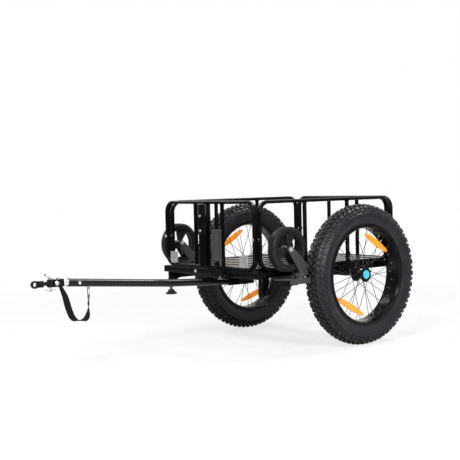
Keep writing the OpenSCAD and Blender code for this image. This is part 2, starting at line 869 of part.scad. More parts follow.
module hub_button(s) {
    color("#19b7d6") wheel_place(s) {
        x_cyl(hub_button_d, button_out - button_t, button_out);
        x_cyl(button_stem_d, 4, button_out - bite);
    }
}

// Two amber bars clipped to the spokes
module spoke_reflectors(s) {
    spots = s > 0 ? [[58, 0], [238, 9]] : [[120, 0], [290, -4]];
    mid_r = rim_inner_d / 2 - 42;
    depth = 10;
    w = spoke_reflector_w;
    lens_l = spoke_reflector_l + 40;
    lens_r = (lens_l * lens_l + w * w) / (4 * w);
    color("#f5a01e") wheel_place(s)
        for (spot = spots)
            rotate([spot[0], 0, 0]) translate([depth, mid_r, 0]) rotate([90 + spot[1], 0, 90])
                linear_extrude(6)
                    intersection() {
                        translate([lens_r - w / 2, 0]) circle(r = lens_r, $fn = 180);
                        translate([w / 2 - lens_r, 0]) circle(r = lens_r, $fn = 180);
                        square([w, spoke_reflector_l], center = true);
                    }
}

module caster_hangers() {
    inner = cross_half;
    lug_end = caster_x - arm_half + lug_w;
    color("#1a1a1c") place()
        for (s = [-1, 1]) side(s)
            difference() {
                union() {
                    translate([inner, 0, 0]) rotate([90, 0, 90]) linear_extrude(hanger_t) {
                        polygon([[bed_front, frame_top - 2], [pivot_y + 20, frame_top - 2],
                            [pivot_y + 20, frame_bottom], [pivot_y + 6, hanger_foot],
                            [sleeve_y, hanger_foot], [sleeve_y, frame_bottom],
                            [bed_front, frame_bottom]]);
                        translate([pivot_y, pivot_z]) circle(r = lug_r);
                    }
                    translate([sleeve_x, sleeve_y, sleeve_bottom])
                        cylinder(d = sleeve_d, h = frame_bottom - sleeve_bottom);
                    translate([0, pivot_y, pivot_z]) {
                        x_cyl(pivot_d, inner, lug_end + 4);
                        x_cyl(pivot_d + 8, inner, caster_x - arm_half - part_gap);
                        x_cyl(20, lug_end + part_gap, lug_end + 6);
                    }
                }
                translate([sleeve_x, sleeve_y, sleeve_bottom - bite])
                    cylinder(d = knob_stem_d + 2 * run_gap, h = frame_bottom - sleeve_bottom - 4);
            }
}

module lock_knob(s) {
    color("#151517") place() translate([s * sleeve_x, sleeve_y, 0]) {
        translate([0, 0, knob_top - knob_t]) cylinder(d = knob_d, h = 9);
        translate([0, 0, knob_top - knob_t + 9]) cylinder(d1 = knob_d - 8, d2 = sleeve_d + 4, h = knob_t - 9);
        translate([0, 0, knob_top - bite])
            cylinder(d = knob_stem_d, h = frame_bottom - 8 - knob_top + bite);
    }
}

module caster_place(s) {
    place() side(s) children();
}

// Flip arm: a channel open below, with lugs on the pivot pin
module caster_arm(s) {
    inner = caster_x - arm_half;
    outer = caster_x + arm_half;
    color("#1a1a1c") caster_place(s)
        difference() {
            union() {
                translate([inner, 0, 0]) rotate([90, 0, 90]) linear_extrude(arm_plate) {
                    polygon([[arm_rear, arm_bottom + 10], [arm_rear, arm_top],
                        [arm_front, arm_top], [pivot_y - lug_r, pivot_z],
                        [pivot_y, pivot_z - lug_r + 1], [pivot_y + lug_r, pivot_z],
                        [arm_front + 30, arm_bottom], [arm_rear - 20, arm_bottom]]);
                    translate([pivot_y, pivot_z]) circle(r = lug_r);
                }
                translate([0, pivot_y, pivot_z]) x_cyl(2 * lug_r - 4, inner, inner + lug_w);
                translate([outer - arm_plate, 0, 0]) rotate([90, 0, 90]) linear_extrude(arm_plate)
                    polygon([[arm_rear, arm_bottom + 10], [arm_rear, arm_top],
                        [arm_step, arm_top], [arm_step, arm_bottom + 10]]);
                translate([0, 0, arm_top - arm_plate]) linear_extrude(arm_plate)
                    polygon([[inner, arm_front], [inner, arm_rear],
                        [outer, arm_rear], [outer, arm_step]]);
                translate([caster_x, caster_swivel_y, arm_top - bite])
                    cylinder(d = boss_d, h = boss_top - arm_top + bite);
            }
            translate([0, pivot_y, pivot_z])
                x_cyl(pivot_d + 2 * run_gap, inner - bite, inner + lug_w + bite);
            translate([caster_x, caster_swivel_y, arm_bottom])
                cylinder(d = swivel_d + 2 * run_gap, h = arm_h + 20);
        }
}

module caster_fork(s) {
    leg_low = crown_bottom + crown_t;
    color("#1d1d1f") caster_place(s) {
        difference() {
            union() {
                translate([caster_x, caster_swivel_y, crown_bottom])
                    cylinder(d = crown_d, h = crown_t);
                for (x = [caster_x - leg_in - leg_t, caster_x + leg_in])
                    translate([x, 0, 0]) rotate([90, 0, 90]) linear_extrude(leg_t) {
                        polygon([[caster_swivel_y - 18, crown_bottom + 4],
                            [caster_swivel_y + 24, crown_bottom + 4],
                            [caster_swivel_y + 24, caster_axle_z - 62],
                            [caster_y + 12, caster_axle_z + 7],
                            [caster_y - 11, caster_axle_z - 7],
                            [caster_swivel_y - 18, leg_low + 6]]);
                        translate([caster_y, caster_axle_z]) circle(r = 13);
                    }
            }
            translate([0, caster_y, caster_axle_z])
                x_cyl(caster_bolt_d + 4 * run_gap, caster_x - 40, caster_x + 40);
        }
        translate([caster_x, caster_swivel_y, arm_top - arm_plate - 5])
            cylinder(d = swivel_d, h = crown_bottom - arm_top + arm_plate + 6);
    }
}

module caster_wheel(s) {
    rim_in = caster_rim_d - 2 * caster_rim_t;
    low = caster_hub_d / 2 - 3;
    tip = rim_in / 2 + 5;
    wide = 27;
    color("#101012") caster_place(s) translate([caster_x, caster_y, caster_axle_z])
        difference() {
            union() {
                difference() {
                    x_cyl(caster_rim_d, -caster_w / 2 + 3, caster_w / 2 - 3);
                    x_cyl(rim_in, -caster_w, caster_w);
                }
                x_cyl(caster_hub_d, -leg_in + part_gap, leg_in - part_gap);
                for (k = [0:caster_spokes - 1])
                    rotate([k * 360 / caster_spokes - 13, 0, 0])
                        translate([-8, 0, 0]) rotate([90, 0, 90]) linear_extrude(16)
                            polygon([[-9, low], [9, low], [wide, tip - 6.5], [9, tip], [-9, tip],
                                [-wide, tip - 6.5]]);
            }
            x_cyl(caster_bolt_d + 2 * run_gap, -caster_w, caster_w);
        }
}

module caster_tyre(s) {
    h = caster_w / 2;
    o = caster_d / 2;
    i = caster_rim_d / 2;
    color("#1c1c1e") caster_place(s) translate([caster_x, caster_y, caster_axle_z])
        rotate([0, 90, 0]) rotate_extrude($fn = 120)
            polygon([[i, -h + 2], [o - 8, -h], [o - 2.5, -h + 5], [o, -h + 12],
                [o, h - 12], [o - 2.5, h - 5], [o - 8, h], [i, h - 2]]);
}

module caster_bolt(s) {
    end = leg_in + leg_t;
    color("#b9bcc0") caster_place(s) translate([caster_x, caster_y, caster_axle_z]) {
        x_cyl(caster_bolt_d, -end - 1, end + 1);
        x_cyl(20, end, end + 4);
        x_cyl(20, -end - 4, -end);
    }
}

side_rails();
crossbars();
axle_tube();
deck_slats();
rail_end_caps();
front_panel();
rear_panel();
side_panel(1);  // left_panel
side_panel(-1);  // right_panel
panel_bolts();
front_reflectors();
storage_tube();
tube_collar();
collar_bolts();
drawbar_bracket();
drawbar_bolts();
drawbar();
caster_hangers();
lever_bracket();
lever_tube();
foam_grip();
stub_axles();
tyre(1);  // tyre_left
rim(1);  // rim_left
spokes(1);  // spokes_left
hub(1);  // hub_left
spoke_reflectors(1);  // spoke_reflectors_left
hub_button(1);  // hub_button_left
tyre(-1);  // tyre_right
rim(-1);  // rim_right
spokes(-1);  // spokes_right
hub(-1);  // hub_right
spoke_reflectors(-1);  // spoke_reflectors_right
hub_button(-1);  // hub_button_right
caster_arm(1);  // caster_arm_left
caster_fork(1);  // caster_fork_left
caster_wheel(1);  // caster_wheel_left
caster_tyre(1);  // caster_tyre_left
caster_bolt(1);  // caster_bolt_left
lock_knob(1);  // lock_knob_left
caster_arm(-1);  // caster_arm_right
caster_fork(-1);  // caster_fork_right
caster_wheel(-1);  // caster_wheel_right
caster_tyre(-1);  // caster_tyre_right
caster_bolt(-1);  // caster_bolt_right
lock_knob(-1);  // lock_knob_right
hitch_tube();
snap_button();
coupling_body();
coupling_bolts();
coupling_knuckle();
coupling_eye();
lock_pin();
pin_clip();
strap_ring();
safety_strap();
strap_tab();
snap_hook();
hook_gate();
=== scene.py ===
# Bike cargo trailer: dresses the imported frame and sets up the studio
import math

import bmesh
import bpy
from mathutils import Matrix, Vector


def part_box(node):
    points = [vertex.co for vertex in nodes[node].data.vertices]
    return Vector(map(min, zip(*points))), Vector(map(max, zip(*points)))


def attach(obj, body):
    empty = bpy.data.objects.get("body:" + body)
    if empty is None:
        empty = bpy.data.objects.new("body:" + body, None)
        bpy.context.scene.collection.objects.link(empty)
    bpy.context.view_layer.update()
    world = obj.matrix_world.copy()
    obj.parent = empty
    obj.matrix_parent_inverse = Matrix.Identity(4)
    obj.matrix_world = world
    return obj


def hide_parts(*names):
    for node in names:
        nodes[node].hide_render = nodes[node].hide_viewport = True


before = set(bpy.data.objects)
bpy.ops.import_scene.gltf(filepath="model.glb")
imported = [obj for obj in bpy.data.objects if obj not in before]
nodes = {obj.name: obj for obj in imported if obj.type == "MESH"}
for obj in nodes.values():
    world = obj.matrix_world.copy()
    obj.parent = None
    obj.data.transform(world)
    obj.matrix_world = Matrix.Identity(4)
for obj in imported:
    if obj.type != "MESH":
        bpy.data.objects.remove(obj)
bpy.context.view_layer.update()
mm = 0.001
wheel = {"x": 374, "z": 293}     # middle of the left main wheel, in millimetres
axleY = 0.51575                  # the axle line in the part's frame
axleZ = wheel["z"] * mm
sideX = Vector((1, 0, 0))
endY = Vector((0, 1, 0))
upZ = Vector((0, 0, 1))


def at(x, y, z):     # millimetres from the axle line, on the ground, to the part's frame
    return Vector((x * mm, y * mm + axleY, z * mm))


# Camera, at the photograph's place
shot = {"place": (3.359, -2.55625, 0.688), "turn": 51.42, "tilt": 2.675, "roll": -1.328, "lens": 80.19,
        "film": 36}


def addCamera():
    turn, tilt, roll = (math.radians(shot[k]) for k in ("turn", "tilt", "roll"))
    back = Vector((math.sin(turn) * math.cos(tilt), -math.cos(turn) * math.cos(tilt), math.sin(tilt)))
    flatRight = Vector((math.cos(turn), math.sin(turn), 0))
    flatUp = back.cross(flatRight)
    right = math.cos(roll) * flatRight + math.sin(roll) * flatUp
    up = math.cos(roll) * flatUp - math.sin(roll) * flatRight
    bpy.ops.object.camera_add()
    cam = bpy.context.object
    cam.name = "photoCamera"
    cam.data.lens = shot["lens"]
    cam.data.sensor_width = shot["film"]
    cam.matrix_world = Matrix.Translation(shot["place"]) @ Matrix((right, up, back)).transposed().to_4x4()
    bpy.context.scene.camera = cam


addCamera()
print("camera placed")


# Small tools for modelling
def clearSelection():
    if bpy.context.object and bpy.context.object.mode != "OBJECT":
        bpy.ops.object.mode_set(mode="OBJECT")
    bpy.ops.object.select_all(action="DESELECT")


def focus(*things):
    clearSelection()
    for thing in things:
        thing.select_set(True)
    bpy.context.view_layer.objects.active = things[0]


def edit(thing):
    focus(thing)
    bpy.ops.object.mode_set(mode="EDIT")
    bpy.ops.mesh.select_mode(type="FACE")
    bpy.ops.mesh.select_all(action="SELECT")


def pickFaces(thing, test):      # selects the faces whose centre and normal pass the test
    bpy.ops.mesh.select_all(action="DESELECT")
    sheet = bmesh.from_edit_mesh(thing.data)
    for face in sheet.faces:
        face.select_set(test(face.calc_center_median(), face.normal))
    bmesh.update_edit_mesh(thing.data)


def closeEdit():
    bpy.ops.object.mode_set(mode="OBJECT")
    return bpy.context.object


def settle(thing):               # modifiers applied, place in the mesh, object at the origin
    focus(thing)
    for modifier in list(thing.modifiers):
        bpy.ops.object.modifier_apply(modifier=modifier.name)
    bpy.ops.object.transform_apply(location=True, rotation=True, scale=True)
    return thing


def softEdges(thing, width, steps=2, angle=40):
    bevel = thing.modifiers.new("softEdges", "BEVEL")
    bevel.width = width * mm
    bevel.segments = steps
    bevel.limit_method = "ANGLE"
    bevel.angle_limit = math.radians(angle)
    return settle(thing)


def finishPiece(thing, name, body, finish=None, replaces=(), angle=35):
    settle(thing)
    bpy.ops.object.shade_smooth_by_angle(angle=math.radians(angle))
    thing.name = name
    thing.data.name = name
    if finish:
        thing.data.materials.clear()
        thing.data.materials.append(finishes[finish])
    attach(thing, body)
    if replaces:
        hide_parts(*replaces)
    return thing


def twin(thing, move=Matrix.Identity(4)):    # a copy with its own mesh
    copy = thing.copy()
    copy.data = thing.data.copy()
    copy.data.transform(move)
    if move.determinant() < 0:
        copy.data.flip_normals()
    bpy.context.scene.collection.objects.link(copy)
    return copy


def repeat(thing, moves):                    # copies at each place, joined, without the pattern
    settle(thing)
    copies = [twin(thing, move) for move in moves]
    bpy.data.objects.remove(thing)
    focus(*copies)
    bpy.ops.object.join()
    return bpy.context.object


def joined(*things):
    for thing in things:
        settle(thing)
    focus(*things)
    bpy.ops.object.join()
    return bpy.context.object


def shifts(*places):
    return [Matrix.Translation(place) for place in places]


def lathe(profile, centre, axis, steps=64):  # profile points are (along the axis, radius) in mm
    along = {"x": sideX, "y": endY, "z": upZ}[axis[-1]] * (-1 if axis[0] == "-" else 1)
    out = sideX if axis[-1] == "z" else upZ
    points = [centre + along * a * mm + out * r * mm for a, r in profile]
    clearSelection()
    bpy.ops.mesh.primitive_plane_add(size=mm, location=points[0])
    bpy.ops.object.mode_set(mode="EDIT")
    bpy.ops.mesh.select_mode(type="VERT")
    bpy.ops.mesh.select_all(action="SELECT")
    bpy.ops.mesh.merge(type="CENTER")
    for here, there in zip(points, points[1:]):
        bpy.ops.mesh.extrude_region_move(TRANSFORM_OT_translate={"value": there - here})
    bpy.ops.mesh.select_all(action="SELECT")
    bpy.ops.mesh.spin(steps=steps, angle=math.tau, center=centre, axis=along)
    bpy.ops.mesh.select_all(action="SELECT")
    bpy.ops.mesh.remove_doubles(threshold=0.00001)
    bpy.ops.mesh.normals_make_consistent(inside=False)
    return settle(closeEdit())


def block(centre, size):
    clearSelection()
    bpy.ops.mesh.primitive_cube_add(size=1, location=centre, scale=Vector(size) * mm)
    return settle(bpy.context.object)


def squareTube(start, end, wide, high, wall, corner):   # along x or y, high along z
    run = end - start
    turned = (0, math.pi / 2, 0) if abs(run.x) > abs(run.y) else (math.pi / 2, 0, 0)
    size = (high, wide, 1) if abs(run.x) > abs(run.y) else (wide, high, 1)
    clearSelection()
    bpy.ops.mesh.primitive_plane_add(size=mm, location=start, rotation=turned)
    tube = bpy.context.object
    tube.scale = size
    settle(tube)
    edit(tube)
    bpy.ops.mesh.bevel(offset=corner * mm, segments=4, affect="VERTICES")
    bpy.ops.mesh.inset(thickness=wall * mm)
    bpy.ops.mesh.delete(type="FACE")
    bpy.ops.mesh.select_all(action="SELECT")
    bpy.ops.mesh.extrude_region_move(TRANSFORM_OT_translate={"value": run})
    bpy.ops.mesh.select_all(action="SELECT")
    bpy.ops.mesh.normals_make_consistent(inside=False)
    return closeEdit()


def softPiece(node, name, body, finish, width, steps=2, angle=40):   # a CAD node with softened edges
    copy = bpy.data.objects.new(node + "Copy", nodes[node].data.copy())
    bpy.context.scene.collection.objects.link(copy)
    edit(copy)
    bpy.ops.mesh.customdata_custom_splitnormals_clear()
    bpy.ops.mesh.remove_doubles(threshold=0.000005)
    bpy.ops.mesh.dissolve_limited(angle_limit=math.radians(0.6))
    closeEdit()
    return finishPiece(softEdges(copy, width, steps, angle), name, body, finish, [node])


bolt = {"washer": 1.2, "washerR": 0.62, "flats": 1.732, "rim": 0.09, "crown": 0.1, "edge": 0.35}


def hexBolt(place, toward, across, high):    # head with a washer, standing on place
    washer, r = bolt["washer"], across * bolt["washerR"]
    turned = toward.to_track_quat("Z", "Y").to_matrix().to_4x4()
    clearSelection()
    bpy.ops.mesh.primitive_cylinder_add(vertices=6, radius=across / bolt["flats"] * mm, depth=high * mm,
                                        location=(0, 0, (washer + high / 2) * mm))
    head = settle(bpy.context.object)
    edit(head)
    pickFaces(head, lambda centre, normal: normal.z > 0.9)
    bpy.ops.mesh.inset(thickness=across * bolt["rim"] * mm)
    bpy.ops.transform.translate(value=(0, 0, high * bolt["crown"] * mm))
    closeEdit()
    softEdges(head, bolt["edge"])
    ring = lathe([(0, 0), (0, r), (washer * 0.7, r), (washer, r - 0.4), (washer, 0)], Vector(), "z", 32)
    whole = joined(head, ring)
    whole.data.transform(Matrix.Translation(place) @ turned)
    return whole


# Shader values that add up as plain sums
class Wire:
    def __init__(self, recipe, socket):
        self.recipe = recipe
        self.socket = socket

    def math(self, operation, *values):
        return self.recipe.node("Math", {"operation": operation}, dict(enumerate(values)))

    def __add__(self, other):
        return self.math("ADD", self, other)

    def __radd__(self, other):
        return self.math("ADD", other, self)

    def __sub__(self, other):
        return self.math("SUBTRACT", self, other)

    def __rsub__(self, other):
        return self.math("SUBTRACT", other, self)

    def __mul__(self, other):
        return self.math("MULTIPLY", self, other)

    def __rmul__(self, other):
        return self.math("MULTIPLY", other, self)

    def wave(self):
        return self.math("SINE", self)

    def root(self):
        return self.math("SQRT", self)

    def floor(self):
        return self.math("FLOOR", self)

    def size(self):
        return self.math("ABSOLUTE", self)

    def rise(self, low, high):       # 0 below low, 1 above high, smooth between
        return self.recipe.node("MapRange", {"interpolation_type": "SMOOTHSTEP"},
                                {"Value": self, "From Min": low, "From Max": high})


class Recipe:
    def __init__(self, name, kind=None):
        self.material = (bpy.data.materials if kind is None else kind).new(name)
        self.material.use_nodes = True
        self.tree = self.material.node_tree
        self.tree.nodes.clear()
        self.spot = self.node("TexCoord", out="Object")

    def node(self, kind, settings=None, sockets=None, out=0):
        made = self.tree.nodes.new("ShaderNode" + kind)
        for key, value in (settings or {}).items():
            setattr(made, key, value)
        for key, value in (sockets or {}).items():
            if isinstance(value, Wire):
                self.tree.links.new(value.socket, made.inputs[key])
            else:
                made.inputs[key].default_value = value
        return Wire(self, made.outputs[out]) if len(made.outputs) else made

    def noise(self, scale, detail=2.0, spot=None):
        return self.node("TexNoise", None, {"Vector": spot or self.spot, "Scale": scale, "Detail": detail}, "Fac")

    def axes(self, spot=None):
        made = self.node("SeparateXYZ", None, {0: spot or self.spot})
        return [Wire(self, socket) for socket in made.socket.node.outputs]

    def stretched(self, x, y, z):
        return self.node("Mapping", None, {"Vector": self.spot, "Scale": (x, y, z)})

    def between(self, amount, first, second):
        pair = [(*c, 1) if isinstance(c, tuple) else c for c in (first, second)]
        return self.node("Mix", {"data_type": "RGBA"}, {"Factor": amount, 6: pair[0], 7: pair[1]}, 2)

    def bump(self, height, depth):
        return self.node("Bump", None, {"Strength": 1.0, "Distance": depth * mm, "Height": height}, "Normal")

    def rays(self, *kinds):          # 1 where the ray is of that kind
        outputs = self.node("LightPath").socket.node.outputs
        return [Wire(self, outputs["Is " + kind + " Ray"]) for kind in kinds]

    def radius(self):                # millimetres from the axle line
        x, y, z = self.axes()
        y, z = y - axleY, z - axleZ
        return (y * y + z * z).root() * 1000

    def upward(self):
        return self.axes(self.node("NewGeometry", out="Normal"))[2].rise(0.35, 1.0)

    def surface(self, colour, rough, normal=None, **fixed):
        sockets = {"Base Color": (*colour, 1) if isinstance(colour, tuple) else colour, "Roughness": rough}
        sockets.update({key.replace("_", " "): value for key, value in fixed.items()})
        if normal:
            sockets["Normal"] = normal
        self.node("OutputMaterial", None, {"Surface": self.node("BsdfPrincipled", None, sockets)})
        return self.material


def paintFinish(name, dark, light, rough, peel=0.02, shine=0.1):   # sprayed paint: peel, clouds, dust
    r = Recipe(name)
    cloud = r.noise(8, 4)
    ripple = r.noise(430, 2) * 0.75 + r.noise(2600, 2) * 0.25
    dust = r.noise(60, 5).rise(0.5, 0.72) * r.upward()
    rub = r.noise(1, 3, r.stretched(35, 260, 260)).rise(0.66, 0.74)
    colour = r.between(cloud.rise(0.3, 0.7), dark, light)
    colour = r.between(dust * 0.12, colour, (0.07, 0.068, 0.064))
    return r.surface(colour, cloud * 0.1 + dust * 0.12 + rub * 0.1 + (rough - 0.05), r.bump(ripple, peel),
                     Specular_IOR_Level=shine)


def metalFinish(name, dark, light, rough, grain=(40, 900, 900), depth=0.01):   # plated: grain, haze, scratches
    r = Recipe(name)
    cloud = r.noise(30, 4)
    line = r.noise(1, 3, r.stretched(*grain))
    scratch = r.noise(1, 2, r.stretched(90, 1500, 700)).rise(0.62, 0.7)
    colour = r.between(cloud.rise(0.3, 0.72), dark, light)
    return r.surface(colour, cloud * 0.16 + line * 0.1 + scratch * 0.12 + (rough - 0.13),
                     r.bump(line + scratch * 0.4, depth), Metallic=1.0)


def plasticFinish(name, dark, light, rough, grain=1500, depth=0.03, **more):   # moulded plastic: spark grain
    r = Recipe(name)
    cloud = r.noise(14, 3)
    pits = r.noise(grain, 2)
    colour = r.between(cloud.rise(0.3, 0.7), dark, light)
    return r.surface(colour, cloud * 0.12 + pits * 0.1 + (rough - 0.11), r.bump(pits, depth), **more)


# the gap radii bound the painted shade between the tread blocks, the crown radii bound the painted highlight on the
# tread top
rubberAt = {"shoulder": (264, 276), "gapShadeFrom": (281, 284), "gapShadeTo": (287, 289.5), "crown": (288, 292), "rings": 4.2}


def tyreFinish(name):                # matt tread with painted shade in the gaps between the blocks and a painted highlight on the up-facing crown, satin walls with fine rings
    r = Recipe(name)
    radius = r.radius()
    tread = radius.rise(*rubberAt["shoulder"])
    cloud = r.noise(18, 5)
    pebble = r.noise(1700, 2) * 0.5 + r.noise(520, 3) * 0.5
    ring = (radius * rubberAt["rings"]).wave() * (1 - tread) * 0.12
    # painted shade: the carcass between the tread blocks is darkened where shade falls
    gapShade = (1 - radius.rise(*rubberAt["gapShadeTo"])) * radius.rise(*rubberAt["gapShadeFrom"])
    colour = r.between(tread, (0.013, 0.013, 0.017), (0.022, 0.022, 0.023))
    # painted highlight: the crown is lightened where it faces up, as if lit from above
    colour = r.between(radius.rise(*rubberAt["crown"]) * r.upward() * 0.5, colour, (0.075, 0.073, 0.072))
    colour = r.between(cloud.rise(0.45, 0.8) * 0.35, colour, (0.055, 0.054, 0.056))
    # painted shade: near black in the gaps between the blocks
    colour = r.between(gapShade * 0.85, colour, (0.004, 0.004, 0.004))
    return r.surface(colour, tread * 0.04 + cloud * 0.1 + 0.28, r.bump(pebble * (tread * 0.85 + 0.15) + ring, 0.06),
                     Specular_IOR_Level=0.2)


def rubberFinish(name, dark, light, rough):
    r = Recipe(name)
    cloud = r.noise(25, 4)
    pebble = r.noise(1900, 3)
    colour = r.between(cloud.rise(0.35, 0.75), dark, light)
    return r.surface(colour, cloud * 0.2 + pebble * 0.08 + (rough - 0.14), r.bump(pebble, 0.05),
                     Specular_IOR_Level=0.15)


def rimFinish(name):                 # gloss black anodising over fine turning rings
    r = Recipe(name)
    radius = r.radius()
    cloud = r.noise(12, 4)
    ring = (radius * 7).wave() * 0.5 + (radius * 23).wave() * 0.5
    colour = r.between(cloud.rise(0.3, 0.7), (0.004, 0.004, 0.0045), (0.009, 0.009, 0.01))
    return r.surface(colour, cloud * 0.1 + 0.14, r.bump(ring + r.noise(900, 2) * 2, 0.006),
                     Specular_IOR_Level=0.12)


nippleFrom = (178.5, 180)            # where a spoke's finish changes, in millimetres from the axle


def spokeFinish(name):               # black stainless wire, bright nipples near the rim
    r = Recipe(name)
    nipple = r.radius().rise(*nippleFrom)
    cloud = r.noise(40, 3)
    colour = r.between(nipple, (0.035, 0.035, 0.038), (0.62, 0.6, 0.56))
    return r.surface(r.between(cloud * 0.4, colour, (0.02, 0.02, 0.02)), cloud * 0.2 + 0.24,
                     r.bump(r.noise(1400, 2), 0.01), Metallic=1.0)


prismWide = 2.4


def prismFinish(name, deep, bright, across, up, glow):     # moulded prisms under a clear lens; glow is painted light, the lens shines though it is no lamp
    r = Recipe(name)
    u, v = (r.axes()[k] for k in (across, up))
    pitch = math.tau / (prismWide * mm)
    turned = [u * pitch, (u * -0.5 + v * 0.866) * pitch, (u * -0.5 - v * 0.866) * pitch]
    cell = sum(((t + math.pi / 2).wave() for t in turned[1:]), (turned[0] + math.pi / 2).wave()).rise(-1.5, 2.6)
    cloud = r.noise(20, 3)
    colour = r.between(cell, deep, bright)
    # painted light: the lens colour is also emitted, so the reflector glows
    return r.surface(colour, cloud * 0.1 + 0.08, r.bump(cell, 0.35), Coat_Weight=0.3, Coat_Roughness=0.06,
                     Emission_Color=colour, Emission_Strength=glow)


def foamFinish(name):                # closed-cell foam
    r = Recipe(name)
    cell = r.node("TexVoronoi", None, {"Vector": r.spot, "Scale": 620}, "Distance")
    cloud = r.noise(22, 4)
    colour = r.between(cell.rise(0.1, 0.7), (0.027, 0.027, 0.028), (0.015, 0.015, 0.016))
    return r.surface(colour, cloud * 0.12 + 0.72, r.bump(1 - cell + r.noise(1500, 2) * 0.4, 0.3), Sheen_Weight=0.06)


def weaveFinish(name, dark, light, warp, weft):            # woven webbing, read from the piece's own weave map
    r = Recipe(name)
    u, v = r.axes(r.node("UVMap", {"uv_map": "weave"}))[:2]
    rows = u * (1 / warp)
    thread = (rows * math.pi).wave().size()
    over = (v * (math.tau / weft) + rows.floor() * math.pi).wave() * 0.5 + 0.5
    height = thread * (over * 0.55 + 0.45)
    fuzz = r.noise(1800, 3)
    colour = r.between(height, dark, light)
    return r.surface(colour, fuzz * 0.12 + 0.72, r.bump(height + fuzz * 0.3, 0.25), Sheen_Weight=0.03,
                     Specular_IOR_Level=0.1)


# Each finish has its dark and light colour and its roughness, then what is its own
finishes = {
    "framePaint": paintFinish("framePaint", (0.0018, 0.0018, 0.002), (0.0036, 0.0036, 0.004), 0.2, 0.015, 0.07),
    "slatPaint": paintFinish("slatPaint", (0.004, 0.004, 0.0043), (0.008, 0.008, 0.0086), 0.19, 0.012, 0.35),
    "tubePaint": paintFinish("tubePaint", (0.0015, 0.0015, 0.0017), (0.003, 0.003, 0.0034), 0.15, 0.01, 0.06),
    "barPaint": paintFinish("barPaint", (0.002, 0.002, 0.0022), (0.004, 0.004, 0.0044), 0.15, 0.008, 0.3),
    "castPaint": paintFinish("castPaint", (0.004, 0.004, 0.0042), (0.008, 0.008, 0.0085), 0.3, 0.05, 0.1),
    "armPaint": paintFinish("armPaint", (0.034, 0.034, 0.035), (0.053, 0.053, 0.054), 0.36, 0.04, 0.22),
    "tyre": tyreFinish("tyreRubber"),
    "casterRubber": rubberFinish("casterRubber", (0.008, 0.008, 0.0085), (0.016, 0.016, 0.0165), 0.4),
    "rim": rimFinish("rimBlack"),
    "spoke": spokeFinish("spokeSteel"),
    "plastic": plasticFinish("blackPlastic", (0.007, 0.007, 0.0075), (0.013, 0.013, 0.0135), 0.32,
                             Specular_IOR_Level=0.15),
    "capPlastic": plasticFinish("greyCaps", (0.3, 0.3, 0.31), (0.4, 0.4, 0.41), 0.4),
    "clearPlastic": plasticFinish("clearPlastic", (0.32, 0.32, 0.32), (0.46, 0.46, 0.46), 0.2),
    "cyan": plasticFinish("cyanPlastic", (0.02, 0.56, 0.68), (0.05, 0.68, 0.8), 0.22, 900, 0.01, Coat_Weight=0.4),
    # the last number of each lens is its painted glow
    "amber": prismFinish("amberLens", (0.85, 0.2, 0.0), (1.0, 0.46, 0.01), 1, 2, 0.5),
    "whiteLens": prismFinish("whiteLens", (0.2, 0.2, 0.2), (0.55, 0.55, 0.55), 0, 2, 0.02),
    "foam": foamFinish("gripFoam"),
    "zinc": metalFinish("zincPlate", (0.42, 0.43, 0.44), (0.62, 0.62, 0.6), 0.34),
    "chrome": metalFinish("chromePlate", (0.66, 0.68, 0.7), (0.8, 0.81, 0.82), 0.14, (700, 50, 700), 0.004),
    "blackSteel": metalFinish("blackenedSteel", (0.06, 0.055, 0.05), (0.16, 0.14, 0.12), 0.4),
    "webbing": weaveFinish("blackWebbing", (0.003, 0.003, 0.0034), (0.014, 0.014, 0.015), 1.4, 2.2),
    "orangeTab": rubberFinish("orangeTab", (0.72, 0.2, 0.03), (0.85, 0.3, 0.05), 0.75),
}
print("finishes mixed:", len(finishes))


def dress(finish, *names):           # a CAD node whose shape is right keeps it and gets the finish
    for name in names:
        mesh = nodes[name].data
        mesh.materials.clear()
        mesh.materials.append(finishes[finish])


def secondFinish(thing, finish, test):   # another finish for the faces whose centre and normal pass the test
    thing.data.materials.append(finishes[finish])
    for face in thing.data.polygons:
        if test(face.center, face.normal):
            face.material_index = 1


# Safety strap: flat webbing on the route that the part's source gives. It turns to one side over its first
# points, as far as face says, and to the other between two later ones, as far as twist says
strap = {"wide": 25, "thick": 2.4, "face": 51, "twist": 39, "turned": 3, "twistFrom": 10, "twistTo": 14,
         "route": [(-1205, 318), (-1196, 300), (-1185, 275), (-1179, 254), (-1173, 233), (-1166, 214),
                   (-1158, 197), (-1146, 185), (-1134, 181), (-1120, 180), (-1106, 181), (-1096, 188),
                   (-1090, 202), (-1087, 218), (-1086, 234), (-1085, 250)]}


def strapSection():                  # half the section's outline, rounded at the selvedges
    w, t = strap["wide"] / 2, strap["thick"] / 2
    side = [(w - t * 0.6, -t), (w - t * 0.15, -t * 0.7), (w, 0), (w - t * 0.15, t * 0.7), (w - t * 0.6, t)]
    flat = [(x * w / 6, t) for x in (4, 2, 0, -2, -4)]
    return side + flat + [(-x, -z) for x, z in side] + [(-x, -z) for x, z in flat]


